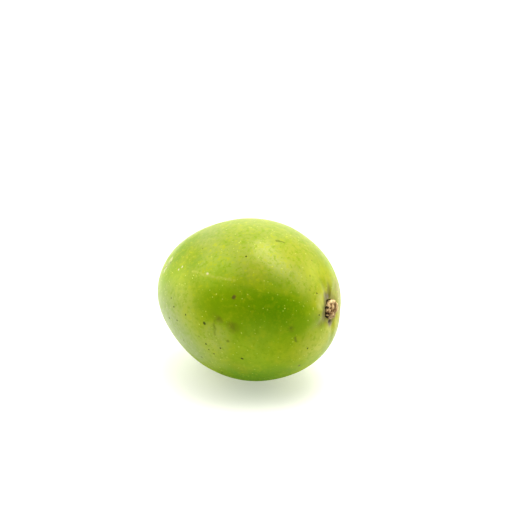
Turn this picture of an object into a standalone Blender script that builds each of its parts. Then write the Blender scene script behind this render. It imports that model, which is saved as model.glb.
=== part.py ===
"""A hog plum as it was picked: a smooth, egg-round green fruit with the woody remnant of its stalk.

The fruit lies on its side with its stalk end towards +X. It rests at z = 0 on a small flat spot, and
the middle of its box stands over the world's origin. Lengths are in metres and angles in degrees.
"""
import math

import bmesh
import bpy
import numpy as np
from mathutils import Vector

# Body of the fruit
HALF_LENGTH = 0.0317
HALF_WIDTH = 0.0260
STALK_END_FULLNESS = 0.040
AXIS_LIFT = 3.0
FLAT_SPOT_DEPTH = 0.0004

# Five soft lobes run from end to end, highest at mid length
LOBE_COUNT = 5
LOBE_HEIGHT = 0.00018
LOBE_TURN = 20.0

# Broad swells (positive) and flats (negative): azimuth, elevation, height, and how far they spread
SWELL_SPREAD = 26.0
SWELLS = {
    "flat on the upper side, away from the stalk": (176.0, 63.0, -0.0008),
    "flat low on the near side": (-115.0, -34.0, -0.0007),
    "swell low beside the stalk": (13.0, -33.0, 0.00055),
    "swell on the upper side": (72.0, 59.0, 0.0003),
}

# The basin that the stalk grew from, a little off the end of the long axis
STALK_TURN = 6.1
STALK_RISE = 4.0
BASIN_DEPTH = 0.0013
BASIN_RADIUS = 0.0075

# Furrows that run out of the basin: angle round the stalk (0 level, 90 up), and depth
FURROWS = {
    "up": (100.0, 0.0007),
    "near side, level": (198.0, 0.0006),
    "down": (270.0, 0.00045),
    "far side, level": (338.0, 0.0004),
    "far side, up": (42.0, 0.0004),
}
FURROW_WIDTH = 0.0014
FURROW_START = 0.0035
FURROW_REACH = 0.0095

# Remnant of the stalk, and the pocket in the basin's floor that holds it. Each wave in its outline is
# how often it repeats round the stub, where it starts, and its share of the radius.
STUB_RADIUS = 0.0031
STUB_RISE = 0.0014
STUB_WAVES = ((3, 0.6, 0.023), (5, 2.1, 0.016), (8, 0.0, 0.011))
STUB_HOLLOW = 0.0006
STUB_LUMP_PITCH = 0.0024
STUB_SQUARENESS = 4.5
POCKET_DEPTH = 0.0012
CLEARANCE = 0.0003

# Cracks that split the stub's rim: angle round the stalk, and how deep each one bites
STUB_CRACKS = {
    "near side": (178.0, 0.16),
    "near side, below": (222.0, 0.20),
    "far side, below": (318.0, 0.12),
}
STUB_CRACK_SPREAD = 11.0

# Fineness of the meshes
FRUIT_SEGMENTS = 72
FRUIT_RINGS = 50
STALK_END_CROWDING = 0.45
STUB_SEGMENTS = 40
STUB_RINGS = 18
POCKET_SEGMENTS = 40

SKIN_COLOUR = (0.29, 0.42, 0.035, 1.0)
SKIN_ROUGHNESS = 0.35
STUB_COLOUR = (0.30, 0.18, 0.07, 1.0)
STUB_ROUGHNESS = 0.8


def clear_scene():
    for item in list(bpy.data.objects):
        bpy.data.objects.remove(item, do_unlink=True)


def new_collection(name):
    collection = bpy.data.collections.new(name)
    bpy.context.scene.collection.children.link(collection)
    return collection


def material(name, colour, roughness):
    made = bpy.data.materials.new(name)
    made.use_nodes = True
    shader = made.node_tree.nodes["Principled BSDF"]
    shader.inputs["Base Color"].default_value = colour
    shader.inputs["Roughness"].default_value = roughness
    shader.inputs["Metallic"].default_value = 0.0
    made.diffuse_color = colour
    return made


def heading(azimuth, elevation):
    """Unit vector that points azimuth degrees round from +X and elevation degrees up."""
    turn = math.radians(azimuth)
    rise = math.radians(elevation)
    return np.array([math.cos(rise) * math.cos(turn), math.cos(rise) * math.sin(turn), math.sin(rise)])


def lifted(vectors):
    """Turn vectors about Y so that the fruit's own long axis rises towards the stalk."""
    lift = math.radians(AXIS_LIFT)
    turn = np.array([
        [math.cos(lift), 0.0, -math.sin(lift)],
        [0.0, 1.0, 0.0],
        [math.sin(lift), 0.0, math.cos(lift)],
    ])
    return vectors @ turn.T


def stalk_frame():
    """The stalk's direction on the fruit before it is lifted, with a level and an upward axis across it."""
    stalk = np.array([1.0, math.tan(math.radians(STALK_TURN)), math.tan(math.radians(STALK_RISE))])
    stalk /= np.linalg.norm(stalk)
    level = np.cross((0.0, 0.0, 1.0), stalk)
    level /= np.linalg.norm(level)
    return stalk, level, np.cross(stalk, level)


def gap_between(normals, direction):
    """Angle in degrees between each normal and one direction."""
    return np.degrees(np.arccos(np.clip(normals @ direction, -1.0, 1.0)))


def turn_difference(angles, centre):
    """How far each angle is from the centre, in degrees, the short way round."""
    return (angles - centre + 180.0) % 360.0 - 180.0


def bare_body(directions):
    """Points and outward normals of the fruit's body with its lobes, before swells and basin."""
    along = directions[:, 0]
    width = HALF_WIDTH * (1.0 + STALK_END_FULLNESS * along)
    points = np.column_stack([HALF_LENGTH * along, width * directions[:, 1], width * directions[:, 2]])
    normals = points / np.array([HALF_LENGTH, HALF_WIDTH, HALF_WIDTH]) ** 2
    normals /= np.linalg.norm(normals, axis=1)[:, None]
    around = np.arctan2(directions[:, 2], directions[:, 1]) - math.radians(LOBE_TURN)
    lobes = LOBE_HEIGHT * (1.0 - along ** 2) * np.cos(LOBE_COUNT * around)
    return points + normals * lobes[:, None], normals


def furrow_depths(radius, around):
    """Depth of the furrows at a distance from the stalk's axis and an angle round it."""
    reach = (1.0 - np.exp(-(radius / FURROW_START) ** 2)) * np.exp(-(radius / FURROW_REACH) ** 2)
    depth = np.zeros_like(radius)
    for angle, deepest in FURROWS.values():
        off = np.radians(turn_difference(around, angle)) * radius
        depth += deepest * reach * np.exp(-(off / FURROW_WIDTH) ** 2)
    return depth


def fruit_surface(directions):
    """Points of the fruit's skin for unit directions given on the fruit's own axes."""
    points, normals = bare_body(directions)
    points = lifted(points)
    normals = lifted(normals)
    height = np.zeros(len(points))
    for azimuth, elevation, size in SWELLS.values():
        height += size * np.exp(-(gap_between(normals, heading(azimuth, elevation)) / SWELL_SPREAD) ** 2)
    points = points + normals * height[:, None]

    stalk, level, upward = (lifted(axis) for axis in stalk_frame())
    across = directions - np.outer(directions @ stalk_frame()[0], stalk_frame()[0])
    radius = HALF_WIDTH * np.linalg.norm(across, axis=1)
    across = lifted(across)
    around = np.degrees(np.arctan2(across @ upward, across @ level))
    sunk = BASIN_DEPTH * np.exp(-(radius / BASIN_RADIUS) ** 2) + furrow_depths(radius, around)
    on_stalk_half = directions @ stalk_frame()[0] > 0.0
    return points - np.outer(np.where(on_stalk_half, sunk, 0.0), stalk)


def crowded_ring(angle):
    """Move the sphere's rings towards the stalk, where the basin needs them."""
    return angle - STALK_END_CROWDING * math.sin(angle)


def sphere_directions(mesh):
    """Unit directions of a sphere's points, its pole turned to the stalk and its rings crowded there."""
    stalk, level, upward = stalk_frame()
    directions = []
    for point in mesh.verts:
        ring = crowded_ring(point.co.angle(Vector((0.0, 0.0, 1.0))))
        turn = math.atan2(point.co.y, point.co.x)
        across = math.cos(turn) * level + math.sin(turn) * upward
        directions.append(math.cos(ring) * stalk + math.sin(ring) * across)
    return np.array(directions)


def object_from(mesh, name, collection, finish=None):
    data = bpy.data.meshes.new(name)
    mesh.to_mesh(data)
    mesh.free()
    made = bpy.data.objects.new(name, data)
    if finish:
        data.materials.append(finish)
    collection.objects.link(made)
    return made


def place_on_stalk(item, above_floor):
    """Stand a piece on the stalk's axis, its own Z along it, this far above the basin's floor."""
    stalk = lifted(stalk_frame()[0])
    basin_floor = fruit_surface(stalk_frame()[0][None, :])[0]
    item.location = Vector(basin_floor + stalk * above_floor)
    item.rotation_mode = "QUATERNION"
    item.rotation_quaternion = Vector(stalk).to_track_quat("Z", "Y")


def make_fruit(collection):
    """Skin and flesh as one solid, about the fruit's own middle."""
    mesh = bmesh.new()
    bmesh.ops.create_uvsphere(mesh, u_segments=FRUIT_SEGMENTS, v_segments=FRUIT_RINGS, radius=1.0)
    for vertex, point in zip(mesh.verts, fruit_surface(sphere_directions(mesh))):
        vertex.co = Vector(point)
    bmesh.ops.recalc_face_normals(mesh, faces=mesh.faces)
    fruit = object_from(mesh, "fruit", collection, material("green skin", SKIN_COLOUR, SKIN_ROUGHNESS))
    fruit.data.shade_smooth()
    return fruit


def stub_radius_factor(turn, height):
    """Outline of the stub, uneven all round and split by its cracks."""
    factor = 1.0
    for count, start, share in STUB_WAVES:
        factor += share * math.sin(count * turn + start)
    for angle, bite in STUB_CRACKS.values():
        off = turn_difference(math.degrees(turn), angle)
        factor -= bite * max(height, 0.0) * math.exp(-(off / STUB_CRACK_SPREAD) ** 2)
    return factor


def stub_point(direction, height):
    """Point of a squat, square-shouldered knob with a raised rim and a sunken, lumpy middle."""
    across = math.hypot(direction.x, direction.y)
    square = (across ** STUB_SQUARENESS + abs(direction.z) ** STUB_SQUARENESS) ** (-1.0 / STUB_SQUARENESS)
    turn = math.atan2(direction.y, direction.x)
    spread = min(STUB_RADIUS * across * square * stub_radius_factor(turn, direction.z), STUB_RADIUS)
    z = height / 2.0 * (1.0 + direction.z * square)
    if direction.z > 0.0:
        inner = 1.0 - (spread / STUB_RADIUS) ** 2
        lumps = 1.0 + 0.5 * math.sin(2.0 * turn + 1.0) * math.sin(math.tau * spread / STUB_LUMP_PITCH)
        z -= STUB_HOLLOW * inner * lumps * direction.z
    return Vector((spread * math.cos(turn), spread * math.sin(turn), z))


def make_stub(collection):
    """Woody remnant of the stalk, standing in the pocket clear of the flesh."""
    height = POCKET_DEPTH - CLEARANCE + STUB_RISE
    mesh = bmesh.new()
    bmesh.ops.create_uvsphere(mesh, u_segments=STUB_SEGMENTS, v_segments=STUB_RINGS, radius=1.0)
    for vertex in mesh.verts:
        vertex.co = stub_point(vertex.co.copy(), height)
    bmesh.ops.recalc_face_normals(mesh, faces=mesh.faces)
    stub = object_from(mesh, "stem_stub", collection, material("dry stalk", STUB_COLOUR, STUB_ROUGHNESS))
    stub.data.shade_smooth()
    place_on_stalk(stub, CLEARANCE - POCKET_DEPTH)
    return stub


def hidden_cutter(item):
    item.hide_render = True
    item.display_type = "WIRE"
    return item


def make_pocket_cutter(collection):
    """Cylinder that sinks the pocket for the stub into the basin's floor."""
    mesh = bmesh.new()
    length = 2.0 * POCKET_DEPTH + STUB_RISE
    wall = STUB_RADIUS + CLEARANCE
    bmesh.ops.create_cone(
        mesh, cap_ends=True, segments=POCKET_SEGMENTS, radius1=wall, radius2=wall, depth=length
    )
    bmesh.ops.translate(mesh, verts=mesh.verts, vec=(0.0, 0.0, length / 2.0))
    cutter = hidden_cutter(object_from(mesh, "pocket_cutter", collection))
    place_on_stalk(cutter, -POCKET_DEPTH)
    return cutter


def make_ground_cutter(collection):
    """Block whose top is the surface that the fruit rests on: it leaves the small flat spot."""
    mesh = bmesh.new()
    size = 2.0 * HALF_LENGTH
    bmesh.ops.create_cube(mesh, size=size)
    bmesh.ops.translate(mesh, verts=mesh.verts, vec=(0.0, 0.0, -size / 2.0))
    return hidden_cutter(object_from(mesh, "ground_cutter", collection))


def cut(item, cutter):
    modifier = item.modifiers.new(cutter.name, "BOOLEAN")
    modifier.operation = "DIFFERENCE"
    modifier.solver = "EXACT"
    modifier.object = cutter


def box_of(pieces):
    """Lowest and highest corner round all the pieces' points."""
    points = [piece.matrix_basis @ vertex.co for piece in pieces for vertex in piece.data.vertices]
    return np.min(points, axis=0), np.max(points, axis=0)


def stand_on_ground(pieces, followers, collection):
    """Hang everything on an empty that centres the box and sinks the underside by the flat spot's depth."""
    low, high = box_of(pieces)
    holder = bpy.data.objects.new("hog_plum_origin", None)
    collection.objects.link(holder)
    middle = (low + high) / 2.0
    holder.location = Vector((-middle[0], -middle[1], -low[2] - FLAT_SPOT_DEPTH))
    for item in pieces + followers:
        item.parent = holder


def make_hog_plum():
    parts = new_collection("hog_plum")
    cutters = new_collection("cutters")
    fruit = make_fruit(parts)
    stub = make_stub(parts)
    pocket_cutter = make_pocket_cutter(cutters)
    stand_on_ground([fruit, stub], [pocket_cutter], parts)
    cut(fruit, pocket_cutter)
    cut(fruit, make_ground_cutter(cutters))


clear_scene()
make_hog_plum()
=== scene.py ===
# %% [markdown]
# # A green hog plum for the table
#
# This lesson dresses one fruit. Its measured form is already there as two plain solids, the fruit and
# the dry remnant of its stalk. We build a finer skin and a finer stub over them, give both a finish
# from shader nodes, and light them as in a small studio. Lengths are in metres, apart from the few whose
# note says millimetres, and angles are in degrees.

# %% Open the measured model
import math

import bmesh
import bpy
import numpy as np
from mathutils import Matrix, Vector, noise


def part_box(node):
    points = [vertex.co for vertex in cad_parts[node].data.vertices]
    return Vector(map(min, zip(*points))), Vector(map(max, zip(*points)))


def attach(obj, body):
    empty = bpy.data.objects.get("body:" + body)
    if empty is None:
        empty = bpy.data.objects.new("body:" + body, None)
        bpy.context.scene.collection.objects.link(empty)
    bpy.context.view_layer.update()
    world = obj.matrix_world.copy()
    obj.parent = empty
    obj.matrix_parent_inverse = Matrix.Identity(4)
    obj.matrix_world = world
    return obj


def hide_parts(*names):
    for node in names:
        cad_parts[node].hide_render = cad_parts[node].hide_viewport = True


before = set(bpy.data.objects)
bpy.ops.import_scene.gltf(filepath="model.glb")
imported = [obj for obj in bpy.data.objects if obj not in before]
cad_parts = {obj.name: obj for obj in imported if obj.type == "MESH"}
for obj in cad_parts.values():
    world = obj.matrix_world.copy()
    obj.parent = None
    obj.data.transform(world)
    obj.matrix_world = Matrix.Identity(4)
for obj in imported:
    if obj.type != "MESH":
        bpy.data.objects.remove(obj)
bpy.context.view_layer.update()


# %% [markdown]
# ## The camera
#
# A picture's viewpoint is three things: how far round and how far up the camera stands, how far away it
# is, and where it points. A short distance makes the near side of a small fruit swell towards us, so the
# distance matters as much as the angle. The lens then sets how large the fruit comes out. We could drag
# the camera about until it looks right, but named numbers can be checked and changed one at a time.

# %% Stand the camera
VIEW_TURN = -52.0
VIEW_RISE = 24.0
VIEW_DISTANCE = 0.280
AIM_FROM_MIDDLE = Vector((-0.0007, 0.0058, 0.0121))
LENS = 60.76
CLIP_START = 0.01
CLIP_END = 20.0


def heading(turn, rise):
    """Unit vector that points turn degrees round from +X and rise degrees up."""
    round_z = math.radians(turn)
    up = math.radians(rise)
    return Vector((math.cos(up) * math.cos(round_z), math.cos(up) * math.sin(round_z), math.sin(up)))


fruit_low, fruit_high = [np.array(corner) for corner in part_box("fruit")]
middle = Vector((0.0, 0.0, fruit_high[2] / 2.0))
camera_spot = middle + heading(VIEW_TURN, VIEW_RISE) * VIEW_DISTANCE
camera_data = bpy.data.cameras.new("camera")
camera_data.lens = LENS
camera_data.clip_start = CLIP_START
camera_data.clip_end = CLIP_END
camera = bpy.data.objects.new("camera", camera_data)
bpy.context.scene.collection.objects.link(camera)
camera.location = camera_spot
camera.rotation_mode = "QUATERNION"
camera.rotation_quaternion = (middle + AIM_FROM_MIDDLE - camera_spot).to_track_quat("-Z", "Y")
bpy.context.scene.camera = camera
print("camera stands at", [round(value, 4) for value in camera_spot])

# %% [markdown]
# ## The form of the fruit
#
# The fruit grew as one smooth body, so it is made from one sphere whose points are moved by a formula: a
# long round body, fuller at the stalk end, five soft lobes, a few broad swells and flats, and at the
# stalk a shallow basin with furrows running out of it. Sculpting by hand would be quicker for one fruit,
# but a formula keeps the fine skin on the measured solid to a fraction of a millimetre.

# %% Lean of the fruit and of its stalk
AXIS_LIFT = 3.0
STALK_TURN = 6.1
STALK_RISE = 4.0


def lifted(points):
    """Turn points or directions about Y, so that the fruit's long axis rises towards the stalk."""
    lift = math.radians(AXIS_LIFT)
    turn = np.array([
        [math.cos(lift), 0.0, -math.sin(lift)],
        [0.0, 1.0, 0.0],
        [math.sin(lift), 0.0, math.cos(lift)],
    ])
    return points @ turn.T


stalk_own = np.array([1.0, math.tan(math.radians(STALK_TURN)), math.tan(math.radians(STALK_RISE))])
stalk_own /= np.linalg.norm(stalk_own)
level_own = np.cross((0.0, 0.0, 1.0), stalk_own)
level_own /= np.linalg.norm(level_own)
upward_own = np.cross(stalk_own, level_own)
stalk, level, upward = lifted(stalk_own), lifted(level_own), lifted(upward_own)
print("the stalk points along", np.round(stalk, 3))

# %% [markdown]
# The formula works on all points at once with numpy. A direction from the fruit's middle goes in, and a
# point of the skin comes out, so the same function serves the mesh, the stub's seat and, later, the
# places of the marks on the skin. A furrow is given by its angle round the stalk and its depth, and a
# swell or flat by its turn round the fruit, its rise and its height.

# %% The body and its lobes
HALF_LENGTH = 0.0317
HALF_WIDTH = 0.0260
STALK_END_FULLNESS = 0.040
LOBE_COUNT = 5
LOBE_HEIGHT = 0.00018
LOBE_TURN = 20.0


def bare_body(directions):
    """Points and outward normals of the body with its lobes."""
    along = directions[:, 0]
    width = HALF_WIDTH * (1.0 + STALK_END_FULLNESS * along)
    points = np.column_stack([HALF_LENGTH * along, width * directions[:, 1], width * directions[:, 2]])
    normals = points / np.array([HALF_LENGTH, HALF_WIDTH, HALF_WIDTH]) ** 2
    normals /= np.linalg.norm(normals, axis=1)[:, None]
    around = np.arctan2(directions[:, 2], directions[:, 1]) - math.radians(LOBE_TURN)
    lobes = LOBE_HEIGHT * (1.0 - along ** 2) * np.cos(LOBE_COUNT * around)
    return points + normals * lobes[:, None], normals


print("body", 2000.0 * HALF_LENGTH, "mm long and", 2000.0 * HALF_WIDTH, "mm wide")

# %% Furrows round the stalk
FURROWS = {
    "up": (100.0, 0.0007),
    "near side, level": (198.0, 0.0006),
    "down": (270.0, 0.00045),
    "far side, level": (338.0, 0.0004),
    "far side, up": (42.0, 0.0004),
}
FURROW_WIDTH = 0.0014
FURROW_START = 0.0035
FURROW_REACH = 0.0095


def turn_difference(angles, centre):
    """How far each angle is from the centre, in degrees, the short way round."""
    return (angles - centre + 180.0) % 360.0 - 180.0


def furrow_depths(radius, around):
    """Depth of the furrows at a distance from the stalk's axis and an angle round it."""
    reach = (1.0 - np.exp(-(radius / FURROW_START) ** 2)) * np.exp(-(radius / FURROW_REACH) ** 2)
    depth = np.zeros_like(radius)
    for angle, deepest in FURROWS.values():
        off = np.radians(turn_difference(around, angle)) * radius
        depth += deepest * reach * np.exp(-(off / FURROW_WIDTH) ** 2)
    return depth


def around_stalk(directions):
    """Distance from the stalk's axis and angle round it, in metres and degrees."""
    across = directions - np.outer(directions @ stalk_own, stalk_own)
    radius = HALF_WIDTH * np.linalg.norm(across, axis=1)
    return radius, np.degrees(np.arctan2(across @ upward_own, across @ level_own))


print("furrows:", "; ".join(FURROWS))

# %% Swells, basin and the whole skin as a formula
SWELL_SPREAD = 26.0
SWELLS = {
    "flat on the upper side, away from the stalk": (176.0, 63.0, -0.0008),
    "flat low on the near side": (-115.0, -34.0, -0.0007),
    "swell low beside the stalk": (13.0, -33.0, 0.00055),
    "swell on the upper side": (72.0, 59.0, 0.0003),
}
BASIN_DEPTH = 0.0013
BASIN_RADIUS = 0.0075


def fruit_surface(directions):
    """Points of the skin, about the fruit's own middle, and the body's normals there."""
    points, normals = bare_body(directions)
    points, normals = lifted(points), lifted(normals)
    height = np.zeros(len(points))
    for turn, rise, size in SWELLS.values():
        off = np.degrees(np.arccos(np.clip(normals @ np.array(heading(turn, rise)), -1.0, 1.0)))
        height += size * np.exp(-(off / SWELL_SPREAD) ** 2)
    points = points + normals * height[:, None]
    radius, around = around_stalk(directions)
    sunk = BASIN_DEPTH * np.exp(-(radius / BASIN_RADIUS) ** 2) + furrow_depths(radius, around)
    sunk = np.where(directions @ stalk_own > 0.0, sunk, 0.0)
    return points - np.outer(sunk, stalk), normals


basin_middle = fruit_surface(stalk_own[None, :])[0][0]
print("middle of the basin, in mm from the fruit's middle:", np.round(1000.0 * basin_middle, 2))

# %% [markdown]
# ## The fine skin
#
# A ball of rings and segments is a good start because its pole can be turned to the stalk: the rings then
# run round the basin, and moving them closer together there spends the faces where the form is busiest.
# An icosphere would spread them evenly and leave the basin coarse. Blender's own UV sphere takes twenty
# seconds at this fineness, so the rings are laid with numpy instead.

# %% Points and faces of a ball
def ball_points(segments, rings):
    """Points of a unit ball: top pole, then ring after ring, then the bottom pole."""
    down = np.pi * np.arange(1, rings) / rings
    turn = 2.0 * np.pi * np.arange(segments) / segments
    x = np.outer(np.sin(down), np.cos(turn)).ravel()
    y = np.outer(np.sin(down), np.sin(turn)).ravel()
    z = np.repeat(np.cos(down), segments)
    return np.vstack([(0.0, 0.0, 1.0), np.column_stack([x, y, z]), (0.0, 0.0, -1.0)])


def ball_faces(segments, rings):
    """Quads between the rings and a fan of triangles at each pole."""
    near = np.arange(segments)
    far = (near + 1) % segments
    last = 1 + (rings - 1) * segments
    starts = 1 + segments * np.arange(rings - 2)[:, None]
    corners = [starts + near, starts + segments + near, starts + segments + far, starts + far]
    quads = np.stack(corners, axis=2)
    pairs = list(zip(near.tolist(), far.tolist()))
    top = [(0, 1 + here, 1 + beside) for here, beside in pairs]
    bottom = [(last, last - segments + beside, last - segments + here) for here, beside in pairs]
    return top + quads.reshape(-1, 4).tolist() + bottom


print("8 segments and 4 rings:", len(ball_points(8, 4)), "points,", len(ball_faces(8, 4)), "faces")

# %% Make a piece from points
def mesh_piece(name, points, faces):
    """A smooth-shaded object from points and faces."""
    mesh = bpy.data.meshes.new(name)
    mesh.from_pydata(points.tolist(), [], faces)
    mesh.shade_smooth()
    piece = bpy.data.objects.new(name, mesh)
    bpy.context.scene.collection.objects.link(piece)
    return piece


def note_on_points(piece, name, values):
    """Keep one number for each point of a mesh, for its finish to read."""
    layer = piece.data.attributes.new(name, "FLOAT", "POINT")
    layer.data.foreach_set("value", np.asarray(values, dtype=np.float32))


# %% [markdown]
# The ball's pole is turned to the stalk, and its rings are drawn towards it. Each point's distance from
# the stalk's axis and its angle round it are kept, since folds, crease, pocket and paint all follow them.
# On the half away from the stalk the distance goes on growing, past the girth to the blunt end.

# %% Lay the ball over the fruit
SKIN_SEGMENTS = 480
SKIN_RINGS = 204
STALK_END_CROWDING = 0.58


def stalk_directions(ball):
    """Directions of a ball's points after its pole is turned to the stalk and its rings crowd there."""
    ring = np.arccos(np.clip(ball[:, 2], -1.0, 1.0))
    ring = ring - STALK_END_CROWDING * np.sin(ring)
    turn = np.arctan2(ball[:, 1], ball[:, 0])
    across = np.outer(np.cos(turn), level_own) + np.outer(np.sin(turn), upward_own)
    return np.cos(ring)[:, None] * stalk_own + np.sin(ring)[:, None] * across


directions = stalk_directions(ball_points(SKIN_SEGMENTS, SKIN_RINGS))
skin_points, skin_normals = fruit_surface(directions)
from_axis, round_axis = around_stalk(directions)
stalk_side = directions @ stalk_own > 0.0
from_axis = np.where(stalk_side, from_axis, 2.0 * HALF_WIDTH - from_axis)
print("skin points:", len(skin_points))

# %% Stand the skin on the table
skin_low, skin_high = skin_points.min(axis=0), skin_points.max(axis=0)
centring = ((fruit_low + fruit_high) - (skin_low + skin_high))[:2] / 2.0
stand = np.append(centring, fruit_high[2] - skin_high[2])
skin_points += stand


def spot_on_skin(turn, rise):
    """Place on the skin, from a turn round the fruit and a rise above its middle, in degrees."""
    return fruit_surface(np.array([heading(turn, rise)]))[0][0] + stand


print("the skin is set down by", np.round(1000.0 * stand, 3), "mm")

# %% [markdown]
# A real skin is never as even as a formula. Slow swells a centimetre wide and finer ones a few
# millimetres wide, each under a tenth of a millimetre high, are enough to make the gloss waver. At the
# stalk the skin is drawn into fine radial folds and into one deeper crease above the stub, and beside
# the stub is a small pit, perhaps the scar of a second stalk. All are moved points and not only bump, so
# the mesh itself has them. A displacement texture could do the same, but here each form has a name.

# %% Helpers for the relief
def smooth_step(values, start, end):
    """0 before start, 1 after end, with soft shoulders."""
    share = np.clip((values - start) / (end - start), 0.0, 1.0)
    return share * share * (3.0 - 2.0 * share)


def bumpiness(points, pitch, seed=0.0):
    """Smooth random swells of about one pitch, between about -1 and 1."""
    scaled = points / pitch + seed
    return np.array([noise.noise(point) for point in scaled.tolist()])


print("soft step at 0.25, 0.5 and 0.75:", smooth_step(np.array([0.25, 0.5, 0.75]), 0.0, 1.0))

# %% Swells and radial folds
SLOW_SWELL = 0.00009
FINE_SWELL = 0.00003
FOLD_HEIGHT = 0.00005
FOLD_COUNT = 11
FOLD_WANDER = 3.0
FOLD_RING = 0.0052
FOLD_SPREAD = 0.0021
relief = SLOW_SWELL * bumpiness(skin_points, pitch=0.011)
relief += FINE_SWELL * bumpiness(skin_points, pitch=0.0037, seed=40.0)
wander = FOLD_WANDER * bumpiness(skin_points, pitch=0.003, seed=7.0)
fold_turn = np.radians(round_axis) * FOLD_COUNT + wander
relief += FOLD_HEIGHT * np.cos(fold_turn) * np.exp(-((from_axis - FOLD_RING) / FOLD_SPREAD) ** 2)
print("swells and folds up to", round(1e6 * relief.max()), "micrometres high")

# %% Crease above the stub
CREASE_TURN = 79.0
CREASE_DEPTH = 0.00028
CREASE_WIDTH = 0.0012
CREASE_START = 0.0026
CREASE_FULL = 0.0040
CREASE_LENGTH = 0.0040
beside_crease = np.radians(turn_difference(round_axis, CREASE_TURN)) * from_axis
crease = np.exp(-(beside_crease / CREASE_WIDTH) ** 2)
fading = np.exp(-((from_axis - CREASE_FULL) / CREASE_LENGTH) ** 2)
crease *= smooth_step(from_axis, CREASE_START, CREASE_FULL) * fading
print("crease", round(1e6 * CREASE_DEPTH * crease.max()), "micrometres deep")

# %% Pit beside the stub
PIT_SPOT = (4.4, -3.7)
PIT_DEPTH = 0.00035
PIT_HALF_WIDTH = 0.00125
PIT_HALF_HEIGHT = 0.00070
PIT_RIM = 0.00012
PIT_RIM_RING = 1.5
PIT_RIM_SPREAD = 0.5
from_pit = skin_points - spot_on_skin(*PIT_SPOT)
beside_pit = from_pit @ level
above_pit = np.linalg.norm(from_pit - np.outer(beside_pit, level), axis=1)
pit_gap = np.hypot(beside_pit / PIT_HALF_WIDTH, above_pit / PIT_HALF_HEIGHT)
pit_share = np.exp(-pit_gap ** 2)
pit_rim = np.exp(-((pit_gap - PIT_RIM_RING) / PIT_RIM_SPREAD) ** 2)
relief += PIT_RIM * pit_rim - PIT_DEPTH * pit_share - CREASE_DEPTH * crease
skin_points += skin_normals * relief[:, None]
print("relief from", round(1e6 * relief.min()), "to", round(1e6 * relief.max()), "micrometres")

# %% [markdown]
# The stub stands in a pocket of the skin with a little air round it. The solid has a plain round one.
# Here its edge wanders, and it reaches further out in four places, where the skin shrank away from the
# dry wood: each is given by its angle, its spread and its reach. The foot is pressed flat with a soft
# maximum. Whatever would be under the table comes up to it, and the edge of the flat spot stays rounded,
# where a boolean cut would leave a sharp one.

# %% Sink the stub's seat
POCKET_DEPTH = 0.0012
POCKET_INSIDE = 0.00240
POCKET_OUTSIDE = 0.00295
POCKET_GAPS = {
    "near side, above": (112.0, 14.0, 0.00040),
    "near side": (155.0, 7.0, 0.00045),
    "near side, below": (205.0, 12.0, 0.00025),
    "far side": (318.0, 9.0, 0.00035),
}
POCKET_RAGGED = 0.00012
pocket_edge = from_axis + POCKET_RAGGED * bumpiness(skin_points, pitch=0.0013, seed=90.0)
for angle, width, size in POCKET_GAPS.values():
    pocket_edge -= size * np.exp(-(turn_difference(round_axis, angle) / width) ** 2)
pocket = 1.0 - smooth_step(pocket_edge, POCKET_INSIDE, POCKET_OUTSIDE)
skin_points -= np.outer(pocket * POCKET_DEPTH, stalk)
print("points in the pocket:", int((pocket > 0.5).sum()))

# %% Press the foot flat
FLOOR_SOFTNESS = 0.00008
skin_points[:, 2] = FLOOR_SOFTNESS * np.logaddexp(0.0, skin_points[:, 2] / FLOOR_SOFTNESS)
print("lowest point of the skin in mm:", round(1000.0 * skin_points[:, 2].min(), 4))

# %% Put the skin in the solid's place
skin = mesh_piece("skin", skin_points, ball_faces(SKIN_SEGMENTS, SKIN_RINGS))
deepest_furrow = max(deepest for angle, deepest in FURROWS.values())
note_on_points(skin, "from_stalk", from_axis)
note_on_points(skin, "furrow", furrow_depths(from_axis, round_axis) / deepest_furrow)
note_on_points(skin, "pocket", pocket)
note_on_points(skin, "pit", pit_share)
note_on_points(skin, "crease", crease * stalk_side)
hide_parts("fruit")
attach(skin, "root")
print("skin faces:", len(skin.data.polygons))

# %% [markdown]
# ## The dry stub
#
# What is left of the stalk is a squat plug of corky wood, torn rather than cut. It has a raised, broken
# lip, a sunken middle full of lumps, fibres that run to the edge and a few clefts in its side. A texture
# could fake the lumps, but at this size the light falls into them, so they are real.
#
# The plug is a ball pressed towards a cylinder: the higher its squareness, the sharper its shoulders.
# Seen end on, its edge is a circle with waves and cracks. A wave is given by its count, its start in
# radians and its height as a share of the radius, and a crack by its angle and how deep it bites, as
# such a share too.

# %% Edge of the stub
STUB_WAVES = ((3, 0.6, 0.023), (5, 2.1, 0.016), (8, 0.0, 0.011))
STUB_CRACKS = {
    "near side, above": (150.0, 0.10),
    "near side": (186.0, 0.14),
    "near side, below": (214.0, 0.18),
    "far side, below": (318.0, 0.12),
}
STUB_CRACK_SPREAD = 9.0


def stub_edge(turn, top):
    """Share of the full radius at each turn, with clefts that open towards the broken end."""
    share = 1.0 - sum(size for count, start, size in STUB_WAVES)
    for count, start, size in STUB_WAVES:
        share = share + size * np.sin(count * np.radians(turn) + start)
    for angle, bite in STUB_CRACKS.values():
        share = share - bite * top * np.exp(-(turn_difference(turn, angle) / STUB_CRACK_SPREAD) ** 2)
    return share


print("edge of the broken end, every 45 degrees:", np.round(stub_edge(np.arange(0.0, 360.0, 45.0), 1.0), 2))

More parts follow.
